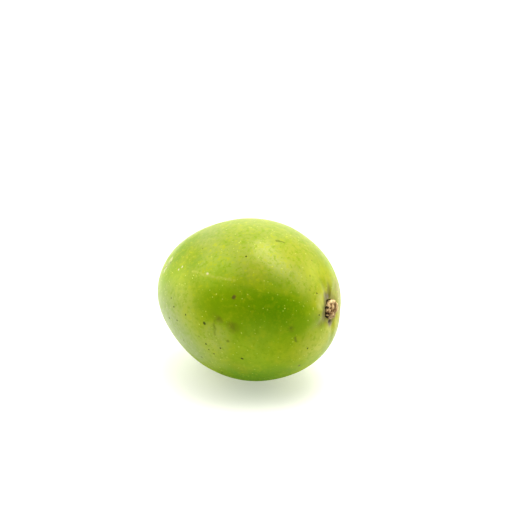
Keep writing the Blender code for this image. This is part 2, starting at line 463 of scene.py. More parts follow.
# %% Shape the stub
STUB_RADIUS = 0.0031
STUB_RISE = 0.0014
STUB_SQUARENESS = 4.5
CLEARANCE = 0.0003
STUB_SEGMENTS = 300
STUB_RINGS = 150
ball = ball_points(STUB_SEGMENTS, STUB_RINGS)
across = np.hypot(ball[:, 0], ball[:, 1])
square = (across ** STUB_SQUARENESS + np.abs(ball[:, 2]) ** STUB_SQUARENESS) ** (-1.0 / STUB_SQUARENESS)
turn = np.degrees(np.arctan2(ball[:, 1], ball[:, 0]))
top = np.clip(ball[:, 2], 0.0, 1.0)
spread = STUB_RADIUS * across * square * stub_edge(turn, top)
stub_height = POCKET_DEPTH - CLEARANCE + STUB_RISE
outward = np.column_stack([np.cos(np.radians(turn)), np.sin(np.radians(turn)), np.zeros(len(ball))])
stub_shape = outward * spread[:, None]
stub_shape[:, 2] = stub_height / 2.0 * (1.0 + ball[:, 2] * square)
print("stub", round(2000 * spread.max(), 2), "mm across and", round(1000 * stub_height, 2), "mm high")

# %% [markdown]
# The larger forms of the torn end are named one by one. Each has its place across the end, as shares of
# the radius to the far side and upwards, its tilt, half its length and half its width as such shares,
# and its height in millimetres. The whole end slopes down from the far side to the near side, and noise
# adds the rest. The height that each point gains is noted on it, in millimetres too, because the finish
# will be dark in the hollows and pale on the lips.

# %% Forms of the torn end
TORN_FORMS = {
    "upper lip": (-0.04, 0.82, -20.0, 0.50, 0.17, 0.36),
    "groove under the lip": (-0.15, 0.62, -20.0, 0.36, 0.05, -0.10),
    "upper knot": (-0.52, 0.52, 30.0, 0.24, 0.16, 0.30),
    "middle knot": (0.02, 0.28, -30.0, 0.27, 0.17, 0.26),
    "groove beside it": (0.42, 0.12, 80.0, 0.38, 0.07, -0.22),
    "near knot": (-0.52, 0.02, 60.0, 0.19, 0.12, 0.18),
    "middle pit": (-0.20, -0.10, 0.0, 0.08, 0.09, -0.34),
    "near hollow": (-0.66, -0.26, -60.0, 0.26, 0.13, -0.36),
    "low knot": (0.10, -0.34, 20.0, 0.20, 0.11, 0.22),
    "far lip": (0.70, -0.08, 81.0, 0.42, 0.13, 0.58),
    "notch in the lip": (0.66, -0.68, -35.0, 0.12, 0.08, -0.40),
    "low ridge": (-0.13, -0.56, 3.0, 0.36, 0.07, 0.28),
    "low groove": (-0.05, -0.72, 0.0, 0.40, 0.05, -0.25),
    "small knot": (-0.80, -0.38, 0.0, 0.09, 0.08, 0.25),
    "bottom lip": (-0.42, -0.80, -25.0, 0.27, 0.09, 0.25),
}
END_SLOPE = 0.00030
print("forms of the torn end:", "; ".join(TORN_FORMS))

# %% Tear the end
HOLLOW = 0.00030
END_START = 0.05
END_FULL = 0.45
broken_end = smooth_step(ball[:, 2], END_START, END_FULL)
sideways, upwards = stub_shape[:, 0] / STUB_RADIUS, stub_shape[:, 1] / STUB_RADIUS
torn = -HOLLOW * np.clip(1.0 - sideways ** 2 - upwards ** 2, 0.0, 1.0)
for x, y, tilt, length, width, size in TORN_FORMS.values():
    cosine, sine = math.cos(math.radians(tilt)), math.sin(math.radians(tilt))
    along_form = (sideways - x) * cosine + (upwards - y) * sine
    beside_form = (upwards - y) * cosine - (sideways - x) * sine
    torn += 0.001 * size * np.exp(-(along_form / length) ** 2 - (beside_form / width) ** 2)
print("named forms from", round(1000.0 * torn.min(), 2), "to", round(1000.0 * torn.max(), 2), "mm")

# %% Lumps and fibres of the wood
COARSE_LUMP = 0.00022
FINE_LUMP = 0.00014
FIBRE_HEIGHT = 0.00004
FIBRE_COUNT = 31
FIBRE_WANDER = 4.0
FIBRE_START = 0.35
FIBRE_FULL = 0.80
SIDE_FIBRES = 1.5
SIDE_LUMPS = 0.6
lumps = COARSE_LUMP * bumpiness(stub_shape, pitch=0.00085, seed=3.0)
lumps += FINE_LUMP * bumpiness(stub_shape, pitch=0.0004, seed=11.0)
wander = FIBRE_WANDER * bumpiness(stub_shape, pitch=0.0016, seed=23.0)
fibre_turn = np.radians(turn) * FIBRE_COUNT + wander
fibres = FIBRE_HEIGHT * np.cos(fibre_turn) * smooth_step(spread / STUB_RADIUS, FIBRE_START, FIBRE_FULL)
end_relief = broken_end * (torn + lumps + fibres)
side_relief = (1.0 - broken_end) * (SIDE_FIBRES * fibres + SIDE_LUMPS * lumps)
stub_relief = 1000.0 * (end_relief + side_relief)
print("torn end from", round(stub_relief.min(), 2), "to", round(stub_relief.max(), 2), "mm")

# %% Set the stub in its seat
CLEFT_START = 0.72
CLEFT_FULL = 0.86
above_seat = 1000.0 * stub_shape[:, 2]
crack_turns = [turn_difference(turn, angle) / STUB_CRACK_SPREAD for angle, bite in STUB_CRACKS.values()]
cleft = sum(np.exp(-off ** 2) for off in crack_turns)
cleft *= smooth_step(spread / STUB_RADIUS, CLEFT_START, CLEFT_FULL)
stub_shape[:, 2] += end_relief + broken_end * END_SLOPE * (sideways - 1.0)
stub_shape += outward * side_relief[:, None]
seat = basin_middle + stand + stalk * (CLEARANCE - POCKET_DEPTH)
stub_points = seat + stub_shape @ np.array([level, upward, stalk])
stub = mesh_piece("stub", stub_points, ball_faces(STUB_SEGMENTS, STUB_RINGS))
note_on_points(stub, "height", stub_relief)
note_on_points(stub, "above_seat", above_seat)
note_on_points(stub, "cleft", cleft)
note_on_points(stub, "low_side", -upwards)
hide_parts("stem_stub")
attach(stub, "root")
print("stub faces:", len(stub.data.polygons))

# %% [markdown]
# ## Wiring a finish
#
# A finish is a small network of nodes that ends in the Principled shader. We could drag the nodes about
# in the shader editor; in a script a few short helpers do the same work. A value that comes from another
# node is linked, and a plain number is typed into the socket.

# %% Helpers for nodes
def finish_named(name):
    """A new material, its tree of nodes and its shader."""
    made = bpy.data.materials.new(name)
    made.use_nodes = True
    return made, made.node_tree, made.node_tree.nodes["Principled BSDF"]


def wire(tree, socket, value):
    """Link a socket to another node's output, or type a value into it."""
    if isinstance(value, bpy.types.NodeSocket):
        tree.links.new(value, socket)
    elif socket.type == "RGBA" and len(value) == 3:
        socket.default_value = (*value, 1.0)
    else:
        socket.default_value = value


def add(tree, kind, settings=None, **sockets):
    """Add a node, choose its settings and fill its sockets by name."""
    made = tree.nodes.new("ShaderNode" + kind)
    for key, value in (settings or {}).items():
        setattr(made, key, value)
    for key, value in sockets.items():
        wire(tree, made.inputs[key.replace("_", " ")], value)
    return made


def sums(tree, operation, first, second):
    """One step of arithmetic on two values."""
    made = tree.nodes.new("ShaderNodeMath")
    made.operation = operation
    wire(tree, made.inputs[0], first)
    wire(tree, made.inputs[1], second)
    return made.outputs[0]


def vectors(tree, operation, first, second):
    """One step of arithmetic on two vectors."""
    made = tree.nodes.new("ShaderNodeVectorMath")
    made.operation = operation
    wire(tree, made.inputs[0], first)
    wire(tree, made.inputs[1], second)
    return made.outputs["Value" if operation in ("DISTANCE", "DOT_PRODUCT") else "Vector"]


# %% Helpers for colour and pattern
def ramp(tree, value, start, end, low=0.0, high=1.0):
    """Turn start..end of a value into low..high, with soft shoulders."""
    ends = {"From_Min": start, "From_Max": end, "To_Min": low, "To_Max": high}
    made = add(tree, "MapRange", {"interpolation_type": "SMOOTHSTEP"}, Value=value, **ends)
    return made.outputs["Result"]


def fade(tree, value, start, end, strength=1.0):
    """A strength that falls to nothing from start to end of a value, as a mark does at its edge."""
    return ramp(tree, value, start, end, strength, 0.0)


def paint(tree, share, under, over):
    """Lay one colour over another, by a share from 0 to 1."""
    made = tree.nodes.new("ShaderNodeMix")
    made.data_type = "RGBA"
    made.clamp_factor = True
    wire(tree, made.inputs[0], share)
    wire(tree, made.inputs[6], under)
    wire(tree, made.inputs[7], over)
    return made.outputs[2]


def patches(tree, place, pitch, detail=2.0, roughness=0.5):
    """Cloudy random value of about one pitch, in metres."""
    sockets = {"Scale": 1.0 / pitch, "Detail": detail, "Roughness": roughness}
    made = add(tree, "TexNoise", {"noise_dimensions": "3D"}, Vector=place, **sockets)
    return made.outputs["Fac"]


def scattered(tree, place, pitch):
    """Distance to the nearest of many scattered points, in pitches, and that point's random colour."""
    made = add(tree, "TexVoronoi", {"voronoi_dimensions": "3D"}, Vector=place, Scale=1.0 / pitch)
    return made.outputs["Distance"], add(tree, "SeparateColor", Color=made.outputs["Color"])


def noted(tree, name):
    """Number kept on the points of the mesh."""
    return add(tree, "Attribute", {"attribute_name": name}).outputs["Fac"]


# %% [markdown]
# ## The green skin
#
# The ground colour of an unripe fruit drifts between a full green and a yellower, paler green, and it is
# yellowest round the stalk. The noise is read in the object's own coordinates, in metres, so the pattern
# has a true size and stays on the skin from every side. A picture wrapped round the fruit would need a
# seam; the noise has none.

# %% Ground colour of the skin
GREEN = (0.270, 0.385, 0.003)
FULL_GREEN = (0.215, 0.340, 0.002)
PALE_GREEN = (0.310, 0.400, 0.005)
SUN_AND_SHEEN_GREEN = (0.322, 0.368, 0.092)
STALK_YELLOW = (0.430, 0.415, 0.012)
skin_finish, tree, skin_shader = finish_named("green skin")
skin.data.materials.append(skin_finish)
place = add(tree, "TexCoord").outputs["Object"]
drift = ramp(tree, patches(tree, place, 0.016), 0.35, 0.65)
colour = paint(tree, drift, GREEN, PALE_GREEN)
cloud = ramp(tree, patches(tree, place, 0.006, detail=3.0, roughness=0.6), 0.45, 0.75)
colour = paint(tree, sums(tree, "MULTIPLY", cloud, 0.55), colour, FULL_GREEN)
above = add(tree, "SeparateXYZ", Vector=place).outputs["Z"]
# The top is painted paler: partly sunned yellow skin, partly painted sheen of the overhead soft boxes.
height_with_noise = sums(tree, "ADD", above, sums(tree, "MULTIPLY", patches(tree, place, 0.012), 0.006))
colour = paint(tree, ramp(tree, height_with_noise, 0.038, 0.049, high=0.8), colour, SUN_AND_SHEEN_GREEN)
from_stalk = noted(tree, "from_stalk")
near_stalk = fade(tree, from_stalk, 0.0035, 0.0165)
colour = paint(tree, sums(tree, "MULTIPLY", near_stalk, 0.85), colour, STALK_YELLOW)
print("nodes in the ground colour:", len(tree.nodes))

# %% [markdown]
# Larger marks have their own places. Each is a spot on the skin with a radius, and its share is full at
# the spot and fades to nothing at the radius. The coordinates are first pushed about by a little noise,
# which turns the round edge into a torn one. This way a mark sits exactly where it should and costs only
# a few nodes.

# %% Marks with a place of their own
def warped(tree, place, pitch, push):
    """Coordinates pushed about by noise, by up to about one push, for uneven edges."""
    cloud = add(tree, "TexNoise", {"noise_dimensions": "3D"}, Vector=place, Scale=1.0 / pitch, Detail=2.0)
    centred = vectors(tree, "SUBTRACT", cloud.outputs["Color"], (0.5, 0.5, 0.5))
    return vectors(tree, "ADD", place, vectors(tree, "MULTIPLY", centred, (2.0 * push,) * 3))


def spot_gap(tree, place, spot, radius):
    """Distance from a spot, as a share of its radius."""
    gap = vectors(tree, "DISTANCE", place, tuple(spot_on_skin(*spot)))
    return sums(tree, "DIVIDE", gap, radius)


def line_gap(tree, place, start, end, radius):
    """Distance from a line between two spots, as a share of its radius."""
    first, last = Vector(spot_on_skin(*start)), Vector(spot_on_skin(*end))
    along = last - first
    from_first = vectors(tree, "SUBTRACT", place, first)
    share = sums(tree, "DIVIDE", vectors(tree, "DOT_PRODUCT", from_first, along), along.length_squared)
    share = add(tree, "Clamp", Value=share).outputs[0]
    scaled = tree.nodes.new("ShaderNodeVectorMath")
    scaled.operation = "SCALE"
    scaled.inputs[0].default_value = along
    wire(tree, scaled.inputs["Scale"], share)
    return sums(tree, "DIVIDE", vectors(tree, "DISTANCE", from_first, scaled.outputs[0]), radius)


# %% Many marks in one coat
def spot_gaps(tree, place, spots):
    """Gaps of small round marks, each given by its turn, rise and radius."""
    return [spot_gap(tree, place, (turn, rise), radius) for turn, rise, radius in spots]


def line_gaps(tree, place, lines):
    """Gaps of thin marks, each given by its start, end and radius."""
    return [line_gap(tree, place, start, end, radius) for start, end, radius in lines]


def nearest(tree, gaps):
    """The smallest of several gaps, so that many marks share one coat of paint."""
    total = gaps[0]
    for gap in gaps[1:]:
        total = sums(tree, "MINIMUM", total, gap)
    return total


def lay_spots(tree, place, under, over, spots):
    """Lay soft patches of one colour, each with its spot, radius and strength."""
    for spot, radius, strength in spots.values():
        share = fade(tree, spot_gap(tree, place, spot, radius), 0.2, 1.0, strength)
        under = paint(tree, share, under, over)
    return under


# %% [markdown]
# The broad patches come first, one colour after another. Deep green lies on every side as the skin's
# own colour; along the middle band, beside the stalk and underneath it is also painted shade. Olive
# smudges look like old bruises, and the one beside the stalk is partly painted shade too. Fresh and
# yellowish greens show where sun and growth differed. Waxy pale patches are partly wax and partly
# painted highlight where the gloss ends, and the hazy whitish patches are painted reflection of the
# soft boxes and the table. All are thin coats over the ground colour, like glazes, so no edge is hard.
# Painting on a picture would be freer, but a named spot is moved by one number.

# %% Deep green patches
# Deep green: the skin's own colour, and painted shade along the middle band, beside the stalk and
# underneath.
DEEP_GREEN_AND_SHADE = (0.125, 0.280, 0.001)
DEEP_AND_SHADE_SPOTS = {
    "middle of the near side": ((-47.0, 15.0), 0.0138, 0.62),
    "right of the middle": ((-29.0, 8.0), 0.0110, 0.60),
    "beside the stalk": ((-12.0, -1.0), 0.0075, 0.55),
    "left part of the band": ((-77.0, 18.0), 0.0085, 0.30),
    "left shoulder": ((-104.6, 45.5), 0.0060, 0.55),
    "left shoulder, far": ((-130.0, 48.0), 0.0110, 0.45),
    "underside": ((-54.0, -48.0), 0.0165, 0.90),
    "underside, right": ((-32.0, -37.0), 0.0080, 0.45),
    "left edge": ((-122.0, 21.0), 0.0062, 0.20),
    "upper far side": ((80.0, 35.0), 0.0120, 0.50),
    "lower far side": ((130.0, -15.0), 0.0140, 0.50),
    "blunt end": ((178.0, 10.0), 0.0090, 0.45),
}
soft_place = warped(tree, place, pitch=0.006, push=0.0022)
colour = lay_spots(tree, soft_place, colour, DEEP_GREEN_AND_SHADE, DEEP_AND_SHADE_SPOTS)
print("deep green patches:", len(DEEP_AND_SHADE_SPOTS))

# %% Olive smudges
OLIVE_SMUDGE_AND_SHADE = (0.155, 0.185, 0.012)
SMUDGES_AND_SHADE = {
    "left of the middle": ((-65.0, 4.5), 0.0030, 0.90),
    "beside it": ((-72.9, 8.6), 0.0021, 0.85),
    "above the scratch": ((-76.5, 12.0), 0.0022, 0.35),
    # Beside the stalk the smudge is partly painted shade of a soft crease.
    "beside the stalk": ((-7.0, 0.0), 0.0044, 0.65),
    "low on the right": ((-31.0, 2.0), 0.0020, 0.40),
    "above the stalk, far side": ((15.5, 17.0), 0.0042, 0.50),
    "far side": ((104.0, 22.0), 0.0030, 0.50),
}
colour = lay_spots(tree, soft_place, colour, OLIVE_SMUDGE_AND_SHADE, SMUDGES_AND_SHADE)
print("smudges:", len(SMUDGES_AND_SHADE))

# %% Waxy pale patches, partly painted highlight
WAXY_AND_HIGHLIGHT = (0.435, 0.470, 0.095)
WAXY_AND_HIGHLIGHT_SPOTS = {
    "low on the right": ((-14.5, -15.0), 0.0085, 0.65),
    "right end of the band": ((-29.6, 30.5), 0.0052, 0.30),
    "left, over the band": ((-93.0, 19.0), 0.0075, 0.16),
    "end of the gloss": ((-18.0, 28.5), 0.0042, 0.50),
    "under the stalk": ((-8.0, -20.0), 0.0056, 0.85),
    "far side": ((60.0, 20.0), 0.0060, 0.35),
}
colour = lay_spots(tree, soft_place, colour, WAXY_AND_HIGHLIGHT, WAXY_AND_HIGHLIGHT_SPOTS)
print("waxy patches:", len(WAXY_AND_HIGHLIGHT_SPOTS))

# %% Hazy patches, painted reflection of the soft boxes and the table
REFLECTION_HAZE = (0.430, 0.470, 0.180)
REFLECTION_HAZES = {
    "upper right": ((-37.0, 58.0), 0.0050, 0.55),
    "upper right, middle": ((-35.0, 50.0), 0.0052, 0.60),
    "upper right, lower": ((-29.0, 41.0), 0.0052, 0.60),
    "edge of the gloss": ((-21.0, 37.0), 0.0052, 0.40),
    "left of the stalk, high": ((-12.0, 24.0), 0.0078, 0.25),
    "below the stalk": ((-1.0, -8.5), 0.0040, 0.28),
    "left, below the band": ((-92.0, -4.0), 0.0075, 0.20),
    "upper left, middle": ((-85.0, 42.0), 0.0105, 0.15),
    "below the middle": ((-75.0, -6.0), 0.0076, 0.52),
    "under the band": ((-50.0, -2.0), 0.0070, 0.08),
    "left, half way": ((-103.0, 8.0), 0.0120, 0.40),
    "low on the left": ((-82.0, -20.0), 0.0095, 0.28),
    "low in the middle": ((-55.0, -13.0), 0.0090, 0.12),
}
colour = lay_spots(tree, soft_place, colour, REFLECTION_HAZE, REFLECTION_HAZES)
print("hazy patches:", len(REFLECTION_HAZES))

# %% Fresh green patches
FRESH_GREEN = (0.285, 0.470, 0.014)
FRESH_SPOTS = {
    "under the band": ((-50.0, -9.0), 0.0145, 0.35),
    "upper left, middle": ((-79.0, 40.0), 0.0090, 0.30),
}
colour = lay_spots(tree, soft_place, colour, FRESH_GREEN, FRESH_SPOTS)
print("fresh green patches:", len(FRESH_SPOTS))

# %% Yellow green patches
YELLOW_GREEN = (0.400, 0.400, 0.030)
YELLOW_SPOTS = {
    "upper left": ((-111.0, 50.0), 0.0060, 0.35),
    "upper left, lower": ((-113.0, 42.0), 0.0045, 0.35),
    "middle, over the band": ((-46.0, 40.0), 0.0055, 0.35),
    "low on the right": ((-33.0, -18.0), 0.0070, 0.15),
    "right shoulder": ((-4.0, 46.0), 0.0100, 0.50),
    "above the stalk": ((12.0, 24.0), 0.0050, 0.25),
    "low, over the foot": ((-63.0, -31.5), 0.0042, 0.35),
}
colour = lay_spots(tree, soft_place, colour, YELLOW_GREEN, YELLOW_SPOTS)
print("yellow green patches:", len(YELLOW_SPOTS))

# %% Rose at the rim of the basin
ROSE = (0.420, 0.330, 0.190)
ROSY_SPOTS = {"left of the stalk": ((-11.5, 2.8), 0.0046, 0.14)}
rose_rim = line_gap(tree, soft_place, (23.0, 14.0), (18.5, -13.0), 0.0032)
colour = paint(tree, fade(tree, rose_rim, 0.0, 1.2, strength=0.68), colour, ROSE)
colour = lay_spots(tree, soft_place, colour, ROSE, ROSY_SPOTS)
print("nodes with the broad patches:", len(tree.nodes))

# %% [markdown]
# Close up, the green is a net of small darker and paler blotches with a finer grain inside it. Two
# noises of different pitch make it, and each lays one dark and one pale coat. The finest pale coat is
# thinner low down and round the stalk, where the skin is calmer.

# %% Fine mottling
MOTTLE_PALE = (0.420, 0.460, 0.020)
blotch = patches(tree, place, 0.0034, detail=4.0, roughness=0.65)
colour = paint(tree, ramp(tree, blotch, 0.50, 0.64, high=0.35), colour, FULL_GREEN)
colour = paint(tree, ramp(tree, blotch, 0.47, 0.34, high=0.25), colour, MOTTLE_PALE)
fine = patches(tree, place, 0.0012, detail=3.0, roughness=0.6)
colour = paint(tree, ramp(tree, fine, 0.52, 0.68, high=0.60), colour, FULL_GREEN)
calm = ramp(tree, from_stalk, 0.009, 0.028, low=0.45)
fine_share = sums(tree, "MULTIPLY", ramp(tree, height_with_noise, 0.032, 0.045, low=0.35, high=0.65), calm)
fine_pale = sums(tree, "MULTIPLY", ramp(tree, fine, 0.48, 0.32), fine_share)
colour = paint(tree, fine_pale, colour, MOTTLE_PALE)
print("nodes with the mottling:", len(tree.nodes))

# %% [markdown]
# Bloom is a thin dust of wax. It stays on the flanks, where nothing rubbed the fruit, and makes them
# look grey. On the near flanks the same grey also stands in for the whitish reflection of the table and
# the bright surroundings, so there it is partly painted reflection. It lies on top of the mottling, so it
# is painted after it, and the fine noise wears it thin in places.

# %% Bloom and painted reflection on the flanks
BLOOM_AND_REFLECTION = (0.315, 0.372, 0.205)
WORN_BLOOM_AND_REFLECTION = (0.268, 0.350, 0.125)
bloom_and_reflection_colour = paint(tree, ramp(tree, fine, 0.38, 0.64), BLOOM_AND_REFLECTION, WORN_BLOOM_AND_REFLECTION)
BLOOM_AND_REFLECTION_SPOTS = {
    "left flank": ((-119.0, -7.0), 0.0150, 0.84),
    "left flank, low": ((-103.0, -22.0), 0.0132, 0.73),
    "upper left": ((-118.0, 64.0), 0.0080, 0.31),
    "right flank, low": ((12.0, -22.0), 0.0085, 0.58),
    "right flank": ((31.0, 6.0), 0.0095, 0.45),
    "left flank, beyond": ((-150.0, -8.0), 0.0150, 0.42),
    "blunt end, far side": ((150.0, 30.0), 0.0110, 0.45),
    "far side, low": ((85.0, -25.0), 0.0100, 0.45),
}
colour = lay_spots(tree, soft_place, colour, bloom_and_reflection_colour, BLOOM_AND_REFLECTION_SPOTS)
print("patches of bloom:", len(BLOOM_AND_REFLECTION_SPOTS))

# %% [markdown]
# Breathing pores dot the skin, one about every millimetre. Voronoi cells are made for this: the distance
# to the nearest cell point gives a round dot, and the cell's random colour decides how large it is. A
# slow noise lets them show clearly here and faintly there.

# %% Breathing pores
PORE_PITCH = 0.00115
PORE_PALE = (0.560, 0.640, 0.150)
pore_distance, pore_chance = scattered(tree, place, PORE_PITCH)
pore_size = ramp(tree, pore_chance.outputs["Red"], 0.1, 1.0, low=0.06, high=0.25)
pore_gap = sums(tree, "DIVIDE", pore_distance, pore_size)
pore = fade(tree, pore_gap, 0.5, 1.0)
pore_strength = ramp(tree, patches(tree, place, 0.009), 0.35, 0.65, low=0.25, high=0.90)
colour = paint(tree, sums(tree, "MULTIPLY", pore, pore_strength), colour, PORE_PALE)
print("nodes with the pores:", len(tree.nodes))

# %% [markdown]
# The far side is guessed as the shadier one, so it has a fuller green, laid in clouds over everything so
# far: partly its own colour and partly painted shade. Which side that is follows from a spot of the
# fruit itself, so the paint stays put when we walk round it.

# %% The far side
NEAR_SIDE = (-60.0, 15.0)
FAR_GREEN_AND_SHADE = (0.170, 0.270, 0.005)
near_way = (Vector(spot_on_skin(*NEAR_SIDE)) - middle).normalized()
nearness = vectors(tree, "DOT_PRODUCT", place, near_way)
far_cloud = ramp(tree, patches(tree, place, 0.0075, detail=3.0), 0.36, 0.64, low=0.45)
# The far side is laid darker: a fuller green and painted shade.
far_shade_share = sums(tree, "MULTIPLY", fade(tree, nearness, -0.018, 0.004, strength=0.72), far_cloud)
colour = paint(tree, far_shade_share, colour, FAR_GREEN_AND_SHADE)
print("the near side faces", [round(value, 2) for value in near_way])

# %% [markdown]
# Dark specks are old knocks and insect bites. Those on the near side are placed one by one. On the other
# sides a second, sparse set of Voronoi cells scatters more of about the same size.

# %% Dark specks
SPECK_DARK = (0.045, 0.065, 0.012)
SPECK_OLIVE = (0.150, 0.200, 0.020)
SPECK_BROWN = (0.140, 0.110, 0.040)
DARK_SPECKS = [
    (-82.4, 3.7, 0.00062), (-55.0, 51.0, 0.00034), (-110.9, 12.8, 0.00034), (-107.2, 7.8, 0.00036),
    (-96.3, 5.8, 0.00038), (-114.6, -3.8, 0.00040), (-105.0, -1.6, 0.00032), (-104.9, -18.2, 0.00030),
    (-83.4, -12.3, 0.00042), (-82.4, -17.0, 0.00032), (-79.4, -19.9, 0.00032), (-73.8, -13.3, 0.00034),
    (-60.9, -20.0, 0.00048), (-92.4, -29.2, 0.00036), (-81.3, -44.0, 0.00040), (-7.0, 19.1, 0.00030),
    (-8.3, 5.1, 0.00034), (-18.3, -15.7, 0.00036),
]
OLIVE_SPECKS = [
    (-87.5, -7.6, 0.00034), (-104.1, 53.1, 0.00040), (-7.3, 31.1, 0.00040), (4.2, 38.8, 0.00034),
    (-12.3, 22.8, 0.00034), (-68.3, -6.3, 0.00060), (-30.9, 2.3, 0.00050),
]
OLIVE_LINES = [
    ((-28.2, -5.0), (-27.5, -8.0), 0.00040),
    ((-15.2, 59.8), (-13.0, 59.2), 0.00056),
    ((-13.0, 59.2), (-8.6, 57.0), 0.00034),
]
BROWN_SPECKS = [(-64.0, 23.4, 0.00080), (-19.9, -31.5, 0.00055)]
speck_place = warped(tree, place, pitch=0.0009, push=0.00022)
dark_gap = nearest(tree, spot_gaps(tree, speck_place, DARK_SPECKS))
dark_share = fade(tree, dark_gap, 0.45, 1.15, strength=0.92)
olive_gaps = spot_gaps(tree, speck_place, OLIVE_SPECKS) + line_gaps(tree, speck_place, OLIVE_LINES)
olive_share = fade(tree, nearest(tree, olive_gaps), 0.4, 1.2, strength=0.70)
brown_gap = nearest(tree, spot_gaps(tree, speck_place, BROWN_SPECKS))
brown_share = fade(tree, brown_gap, 0.4, 1.2, strength=0.85)
colour = paint(tree, olive_share, colour, SPECK_OLIVE)
colour = paint(tree, brown_share, colour, SPECK_BROWN)
colour = paint(tree, dark_share, colour, SPECK_DARK)
print("placed specks:", len(DARK_SPECKS) + len(olive_gaps) + len(BROWN_SPECKS))

# %% Specks on the hidden sides
HIDDEN_PITCH = 0.0052
hidden_distance, hidden_chance = scattered(tree, speck_place, HIDDEN_PITCH)
hidden_size = ramp(tree, hidden_chance.outputs["Green"], 0.2, 1.0, low=0.02, high=0.13)
hidden_gap = sums(tree, "DIVIDE", hidden_distance, hidden_size)
hidden_side = fade(tree, nearness, 0.000, 0.010)
hidden_share = sums(tree, "MULTIPLY", fade(tree, hidden_gap, 0.5, 1.1, strength=0.85), hidden_side)
colour = paint(tree, hidden_share, colour, SPECK_DARK)
print("nodes with the specks:", len(tree.nodes))

# %% [markdown]
# On the left shoulder the skin was grazed and healed as pale cork, with dark scratches torn across it. A
# pale streak, painted highlight along the edge of the top soft box's reflection, runs on from there
# towards the stalk, thin and bright at first, then broad and faint.

# %% Graze on the left shoulder
CORK_PALE = (0.66, 0.62, 0.46)
CORK_DARK = (0.10, 0.09, 0.06)
SCRATCHES = [
    ((-137.0, 25.0), (-134.2, 29.5), 0.00032),
    ((-133.6, 30.2), (-131.6, 33.6), 0.00026),
    ((-131.2, 28.6), (-130.2, 35.0), 0.00022),
]
graze_place = warped(tree, place, pitch=0.0016, push=0.0007)
graze = line_gap(tree, graze_place, (-133.9, 26.3), (-134.6, 34.6), 0.0017)
graze_share = fade(tree, graze, 0.3, 1.0, strength=0.75)
drawn_up = vectors(tree, "MULTIPLY", place, (1.0, 1.0, 0.35))
scratchy = patches(tree, drawn_up, 0.0007, detail=3.0, roughness=0.7)
graze_share = sums(tree, "MULTIPLY", graze_share, ramp(tree, scratchy, 0.40, 0.60))
colour = paint(tree, graze_share, colour, CORK_PALE)
torn_place = warped(tree, place, pitch=0.0011, push=0.00065)
scratch_gap = nearest(tree, line_gaps(tree, torn_place, SCRATCHES))
scratch_share = fade(tree, scratch_gap, 0.2, 1.4, strength=0.85)
scratch_share = sums(tree, "MULTIPLY", scratch_share, ramp(tree, scratchy, 0.66, 0.44, low=0.35))
colour = paint(tree, scratch_share, colour, CORK_DARK)
print("scratches in the graze:", len(SCRATCHES))

# %% Pale streak of painted highlight, flecks and a soft scratch
GLOSS_EDGE_START = [(-98.4, 35.9), (-78.5, 35.1), (-64.0, 34.2)]
GLOSS_EDGE_END = [(-64.0, 34.2), (-58.2, 33.3), (-45.8, 29.3), (-31.1, 25.3)]
GLOSS_EDGE_STREAKS = [
    (GLOSS_EDGE_START, 0.0006, 0.75, WAXY_AND_HIGHLIGHT),
    (GLOSS_EDGE_END, 0.0013, 0.30, MOTTLE_PALE),
]
FLECKS = [(-85.3, 36.5, 0.00055), (-111.3, 35.9, 0.00050), (-113.7, 33.0, 0.00045)]
broken_up = ramp(tree, fine, 0.35, 0.55)
# The pale streak is painted highlight along the edge of the top soft box's reflection.
for path, radius, strength, pale in GLOSS_EDGE_STREAKS:
    gaps = [line_gap(tree, graze_place, start, end, radius) for start, end in zip(path, path[1:])]
    gloss_edge = fade(tree, nearest(tree, gaps), 0.2, 1.3, strength)
    colour = paint(tree, sums(tree, "MULTIPLY", gloss_edge, broken_up), colour, pale)
# The pale flecks are partly pale cork and partly painted glints.
fleck_gap = nearest(tree, spot_gaps(tree, speck_place, FLECKS))
fleck_share = fade(tree, fleck_gap, 0.3, 1.1, strength=0.8)
colour = paint(tree, fleck_share, colour, CORK_PALE)
scratch = line_gap(tree, graze_place, (-75.8, 7.0), (-76.0, -2.8), 0.00052)
colour = paint(tree, fade(tree, scratch, 0.1, 1.2, strength=0.50), colour, SPECK_OLIVE)
print("streaks:", len(GLOSS_EDGE_STREAKS), "and flecks:", len(FLECKS))

# %% [markdown]
# Round the stub the skin is olive and a little corky, and the furrows carry that colour outwards; round
# the stub and in the furrows it is partly painted shade. A broader olive band on the near side of the
# stub is partly painted shade as well, and a pale band on the ridge beside it is painted highlight. The
# crease, the pit, two grey hollows and the pocket get little light, and the dark paint in them is partly
# their own olive, grey, purple and brown and partly painted shade; it helps the shape where the mesh
# alone would look too clean. The numbers noted on the points say where each of them is.

# %% Olive skin in the basin
BASIN_OLIVE_AND_SHADE = (0.235, 0.216, 0.102)
NEAR_RING_OLIVE_SHADE = (0.180, 0.165, 0.075)
RIDGE_HIGHLIGHT = (0.460, 0.470, 0.170)
# Olive round the stub and in its furrows: partly the skin's own colour, partly painted shade.
ring_edge = sums(tree, "ADD", from_stalk, sums(tree, "MULTIPLY", patches(tree, place, 0.0018), 0.0012))
ring = fade(tree, ring_edge, 0.0043, 0.0066, strength=0.70)
colour = paint(tree, ring, colour, BASIN_OLIVE_AND_SHADE)
furrow_shade_share = sums(tree, "MULTIPLY", ramp(tree, noted(tree, "furrow"), 0.1, 0.9), 0.45)
colour = paint(tree, furrow_shade_share, colour, BASIN_OLIVE_AND_SHADE)
# A broad olive band on the near side of the stub: partly olive skin, partly painted shade.
shaded_near_ring = line_gap(tree, soft_place, (2.6, 13.0), (-1.2, 4.0), 0.0024)
colour = paint(tree, fade(tree, shaded_near_ring, 0.3, 1.0, strength=0.85), colour, NEAR_RING_OLIVE_SHADE)
